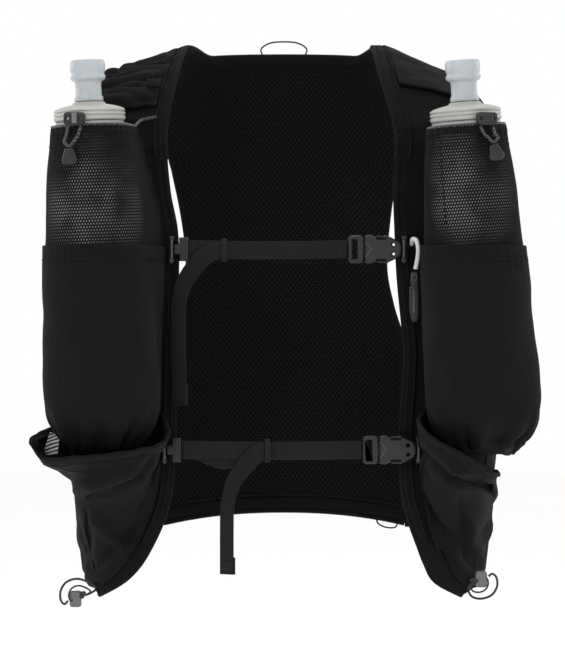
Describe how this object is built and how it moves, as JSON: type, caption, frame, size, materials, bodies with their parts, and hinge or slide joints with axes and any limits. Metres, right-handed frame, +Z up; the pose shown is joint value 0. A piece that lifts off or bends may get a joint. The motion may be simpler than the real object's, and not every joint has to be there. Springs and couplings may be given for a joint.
{
  "type": "running hydration vest with soft flasks",
  "caption": "Close-fitting running vest with a perforated mesh back, chest pockets holding soft flasks, buckled chest straps and stretch hem pockets, shown worn.",
  "frame": {"origin": "middle of the neck at the saddle of the shoulders, where the vest hangs on its wearer", "axes": "+Z up, the front faces -Y, +X to the right as seen from the front"},
  "size_m": [0.3815, 0.2326, 0.4384],
  "materials": {
    "spacer_mesh": "matte spacer mesh with small holes",
    "shell_fabric": "matte stretch weave",
    "pocket_mesh": "open knitted mesh",
    "webbing": "ribbed flat webbing",
    "dark_hardware": "satin moulded",
    "grey_hardware": "satin moulded",
    "cap_plastic": "satin moulded",
    "valve_silicone": "translucent satin",
    "flask_film": "soft translucent film",
    "speckled_cord": "black and white braid",
    "black_cord": "fine round braid",
    "white_cord": "round braid",
    "striped_fabric": "woven black and white stripes"
  },
  "bodies": {
    "root": {"back_panel": "spacer_mesh", "left_shoulder_strap": "shell_fabric", "left_front_panel": "shell_fabric", "left_side_panel": "shell_fabric", "left_mesh_pocket": "pocket_mesh", "left_bottle_pocket": "shell_fabric", "left_hem_pocket": "shell_fabric", "left_placket": "shell_fabric", "left_flask": "flask_film", "left_drawcord": "speckled_cord", "left_cord_guide": "dark_hardware", "left_drawcord_pull": "speckled_cord", "left_cord_grip": "dark_hardware", "right_shoulder_strap": "shell_fabric", "right_front_panel": "shell_fabric", "right_side_panel": "shell_fabric", "right_mesh_pocket": "pocket_mesh", "right_bottle_pocket": "shell_fabric", "right_hem_pocket": "shell_fabric", "right_placket": "shell_fabric", "right_flask": "flask_film", "right_drawcord": "speckled_cord", "right_cord_guide": "dark_hardware", "right_drawcord_pull": "speckled_cord", "right_cord_grip": "dark_hardware", "upper_left_strap_rail": "dark_hardware", "upper_right_strap_rail": "dark_hardware", "upper_slider": "dark_hardware", "upper_buckle_socket": "dark_hardware", "upper_buckle_plug": "dark_hardware", "upper_webbing": "webbing", "upper_keeper": "webbing", "upper_tail": "webbing", "lower_left_strap_rail": "dark_hardware", "lower_right_strap_rail": "dark_hardware", "lower_slider": "dark_hardware", "lower_buckle_socket": "dark_hardware", "lower_buckle_plug": "dark_hardware", "lower_webbing": "webbing", "lower_keeper": "webbing", "lower_tail": "webbing", "haul_loop": "black_cord", "hem_loop": "black_cord", "left_hem_cord": "black_cord", "left_hem_cord_lock": "grey_hardware", "right_hem_cord": "black_cord", "right_hem_cord_lock": "grey_hardware", "whistle_cord": "white_cord", "whistle": "dark_hardware", "striped_tab": "striped_fabric"},
    "left_cap": {"left_flask_cap": "cap_plastic", "left_bite_valve": "valve_silicone"},
    "right_cap": {"right_flask_cap": "cap_plastic", "right_bite_valve": "valve_silicone"}
  },
  "joints": [
    {"name": "left_cap_turn", "type": "hinge", "parent": "root", "child": "left_cap", "pos_m": [-0.145, -0.1135, -0.0435], "axis": [-0.042, 0, 0.9991], "range_deg": [0, 270]},
    {"name": "right_cap_turn", "type": "hinge", "parent": "root", "child": "right_cap", "pos_m": [0.136, -0.1135, -0.0435], "axis": [-0.0629, 0, 0.998], "range_deg": [0, 270]}
  ]
}
